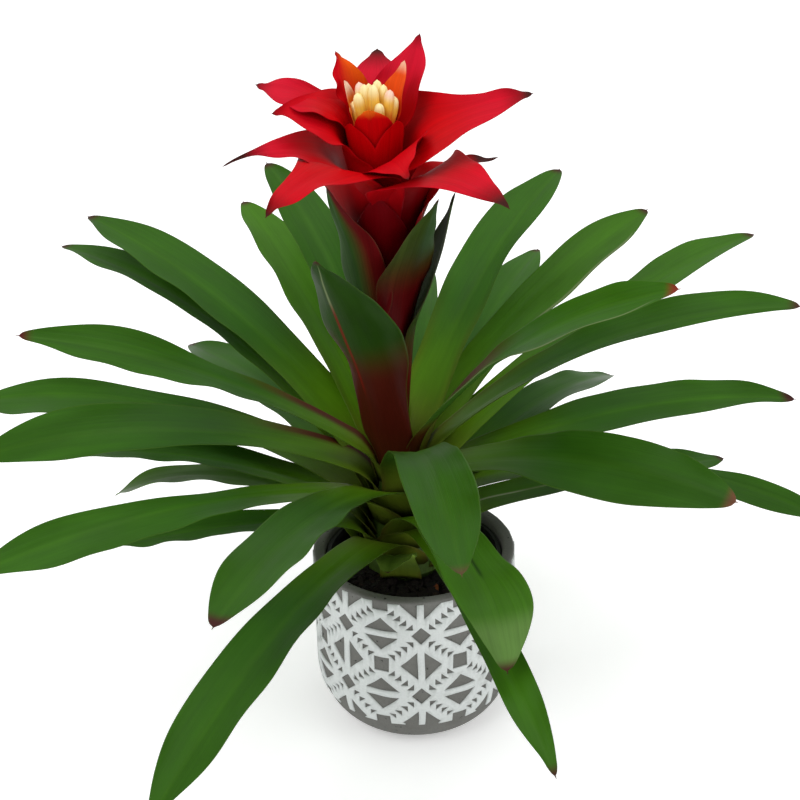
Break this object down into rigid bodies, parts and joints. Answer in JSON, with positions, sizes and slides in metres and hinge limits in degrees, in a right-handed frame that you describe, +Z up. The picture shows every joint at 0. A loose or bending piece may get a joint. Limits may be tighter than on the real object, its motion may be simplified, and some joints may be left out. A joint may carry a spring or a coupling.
{
  "type": "potted bromeliad",
  "caption": "Potted bromeliad: a rosette of arching strap leaves round a stalk topped by a star of red bracts, in a round patterned concrete planter.",
  "frame": {"origin": "middle of the planter's flat base, where it stands", "axes": "+Z up along the planter's axis, +Y away from the viewer of the picture, +X to the viewer's right"},
  "size_m": [0.5563, 0.5501, 0.4443],
  "materials": {
    "planter_concrete": "matt grey cast concrete; its raised off-white pattern is in the visual model",
    "grow_pot": "black moulded nursery pot",
    "potting_mix": "dark bark and peat mix",
    "stem": "living stem, green to dark red, hidden by leaves and bracts",
    "leaf": "living leaf, satin mid green with fine veins along it",
    "stalk_bract": "living bract, satin dark red and green",
    "red_bract": "living bract, satin crimson",
    "crown_bract": "living bract, orange to pink tips",
    "flowers": "living florets, cream yellow with orange bases"
  },
  "bodies": {
    "root": {"planter": "planter_concrete", "grow_pot": "grow_pot", "potting_mix": "potting_mix", "stem": "stem", "leaf_01": "leaf", "leaf_02": "leaf", "leaf_03": "leaf", "leaf_04": "leaf", "leaf_05": "leaf", "leaf_06": "leaf", "leaf_07": "leaf", "leaf_08": "leaf", "leaf_09": "leaf", "leaf_10": "leaf", "leaf_11": "leaf", "leaf_12": "leaf", "leaf_13": "leaf", "leaf_14": "leaf", "leaf_15": "leaf", "leaf_16": "leaf", "leaf_17": "leaf", "leaf_18": "leaf", "leaf_19": "leaf", "leaf_20": "leaf", "leaf_21": "leaf", "leaf_22": "leaf", "leaf_23": "leaf", "leaf_24": "leaf", "leaf_25": "leaf", "leaf_26": "leaf", "leaf_27": "leaf", "leaf_28": "leaf", "leaf_29": "leaf", "leaf_30": "leaf", "leaf_31": "leaf", "leaf_32": "leaf", "stalk_bract_1": "stalk_bract", "stalk_bract_2": "stalk_bract", "stalk_bract_3": "stalk_bract", "stalk_bract_4": "stalk_bract", "stalk_bract_5": "stalk_bract", "red_bract_01": "red_bract", "red_bract_02": "red_bract", "red_bract_03": "red_bract", "red_bract_04": "red_bract", "red_bract_05": "red_bract", "red_bract_06": "red_bract", "red_bract_07": "red_bract", "red_bract_08": "red_bract", "red_bract_09": "red_bract", "red_bract_10": "red_bract", "red_bract_11": "red_bract", "crown_bract_1": "crown_bract", "crown_bract_2": "crown_bract", "crown_bract_3": "crown_bract", "flowers": "flowers"}
  },
  "joints": []
}
